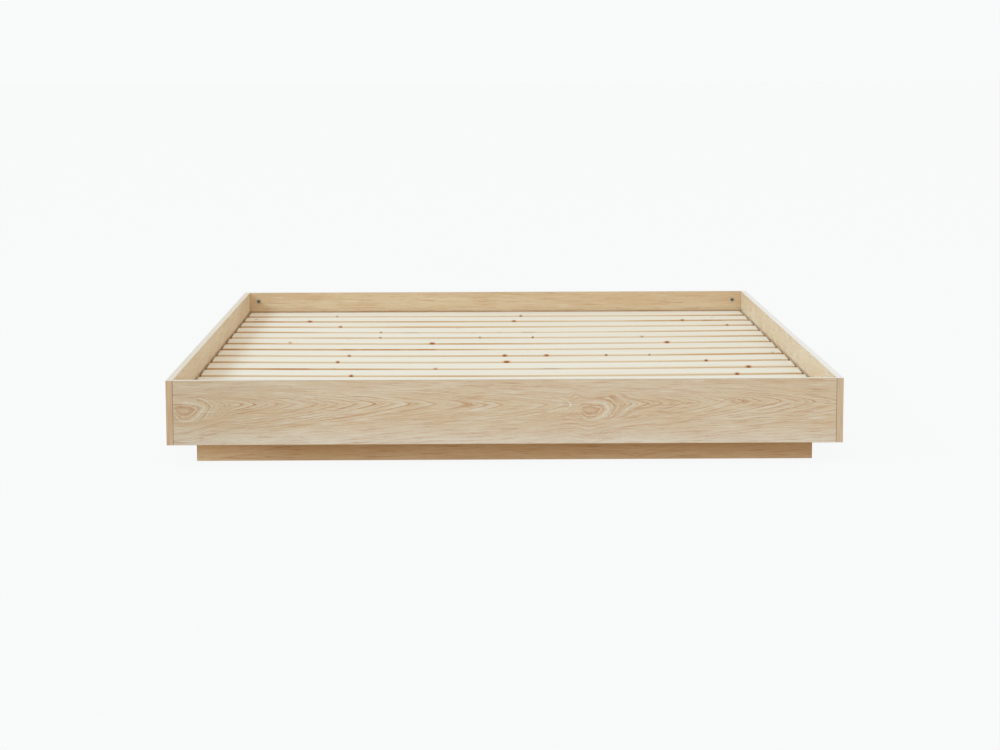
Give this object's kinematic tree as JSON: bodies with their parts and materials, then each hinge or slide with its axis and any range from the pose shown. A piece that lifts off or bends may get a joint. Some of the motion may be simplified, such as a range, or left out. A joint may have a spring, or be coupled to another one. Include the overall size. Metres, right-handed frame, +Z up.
{
  "type": "wooden bed frame",
  "caption": "Low wooden platform bed frame with oak-grain rails, full-width pine slats and a recessed plinth.",
  "frame": {"origin": "on the floor, under the middle of the bed", "axes": "+X to the bed's right side seen from the foot end, +Y along the bed towards the head end, +Z up"},
  "size_m": [1.58, 2.07, 0.2],
  "materials": {
    "oak_foil_board": "satin oak-grain foil on particle board",
    "edge_band": "pale satin edge band",
    "pine_slat": "planed bare pine with knots",
    "pine_batten": "sawn bare pine",
    "beech_dowel": "bare beech",
    "cam_zinc": "die-cast zinc",
    "zinc_plated_steel": "bright zinc plate",
    "webbing": "woven polyester tape"
  },
  "bodies": {
    "root": {"bracket_screws": "zinc_plated_steel", "cam_bolts": "zinc_plated_steel", "corner_block_front_left": "pine_batten", "corner_block_front_right": "pine_batten", "corner_block_rear_left": "pine_batten", "corner_block_rear_right": "pine_batten", "corner_block_screws": "zinc_plated_steel", "foot_batten": "pine_batten", "foot_rail": "oak_foil_board", "foot_rail_edge_band": "edge_band", "front_bracket": "zinc_plated_steel", "head_batten": "pine_batten", "head_rail": "oak_foil_board", "head_rail_edge_band": "edge_band", "left_ledger": "pine_batten", "left_side_rail": "oak_foil_board", "left_side_rail_edge_band": "edge_band", "left_slat_tape": "webbing", "plinth_centre": "oak_foil_board", "plinth_front": "oak_foil_board", "plinth_left": "oak_foil_board", "plinth_rear": "oak_foil_board", "plinth_right": "oak_foil_board", "plinth_screws": "zinc_plated_steel", "rail_dowels": "beech_dowel", "rail_screws": "zinc_plated_steel", "rear_bracket": "zinc_plated_steel", "right_ledger": "pine_batten", "right_side_rail": "oak_foil_board", "right_side_rail_edge_band": "edge_band", "right_slat_tape": "webbing", "slat_01": "pine_slat", "slat_02": "pine_slat", "slat_03": "pine_slat", "slat_04": "pine_slat", "slat_05": "pine_slat", "slat_06": "pine_slat", "slat_07": "pine_slat", "slat_08": "pine_slat", "slat_09": "pine_slat", "slat_10": "pine_slat", "slat_11": "pine_slat", "slat_12": "pine_slat", "slat_13": "pine_slat", "slat_14": "pine_slat", "slat_15": "pine_slat", "tape_staples": "zinc_plated_steel"},
    "cam_head_left_upper": {"cam_head_left_upper": "cam_zinc"},
    "cam_head_left_lower": {"cam_head_left_lower": "cam_zinc"},
    "cam_head_right_upper": {"cam_head_right_upper": "cam_zinc"},
    "cam_head_right_lower": {"cam_head_right_lower": "cam_zinc"},
    "cam_foot_left_upper": {"cam_foot_left_upper": "cam_zinc"},
    "cam_foot_left_lower": {"cam_foot_left_lower": "cam_zinc"},
    "cam_foot_right_upper": {"cam_foot_right_upper": "cam_zinc"},
    "cam_foot_right_lower": {"cam_foot_right_lower": "cam_zinc"}
  },
  "joints": [
    {"name": "cam_head_left_upper_turn", "type": "hinge", "parent": "root", "child": "cam_head_left_upper", "pos_m": [-0.747, 1.0275, 0.173], "axis": [0, -1, 0], "range_deg": [0, 180]},
    {"name": "cam_head_left_lower_turn", "type": "hinge", "parent": "root", "child": "cam_head_left_lower", "pos_m": [-0.747, 1.0275, 0.075], "axis": [0, -1, 0], "range_deg": [0, 180]},
    {"name": "cam_head_right_upper_turn", "type": "hinge", "parent": "root", "child": "cam_head_right_upper", "pos_m": [0.747, 1.0275, 0.173], "axis": [0, -1, 0], "range_deg": [0, 180]},
    {"name": "cam_head_right_lower_turn", "type": "hinge", "parent": "root", "child": "cam_head_right_lower", "pos_m": [0.747, 1.0275, 0.075], "axis": [0, -1, 0], "range_deg": [0, 180]},
    {"name": "cam_foot_left_upper_turn", "type": "hinge", "parent": "root", "child": "cam_foot_left_upper", "pos_m": [-0.747, -1.0275, 0.173], "axis": [0, 1, 0], "range_deg": [0, 180]},
    {"name": "cam_foot_left_lower_turn", "type": "hinge", "parent": "root", "child": "cam_foot_left_lower", "pos_m": [-0.747, -1.0275, 0.075], "axis": [0, 1, 0], "range_deg": [0, 180]},
    {"name": "cam_foot_right_upper_turn", "type": "hinge", "parent": "root", "child": "cam_foot_right_upper", "pos_m": [0.747, -1.0275, 0.173], "axis": [0, 1, 0], "range_deg": [0, 180]},
    {"name": "cam_foot_right_lower_turn", "type": "hinge", "parent": "root", "child": "cam_foot_right_lower", "pos_m": [0.747, -1.0275, 0.075], "axis": [0, 1, 0], "range_deg": [0, 180]}
  ]
}
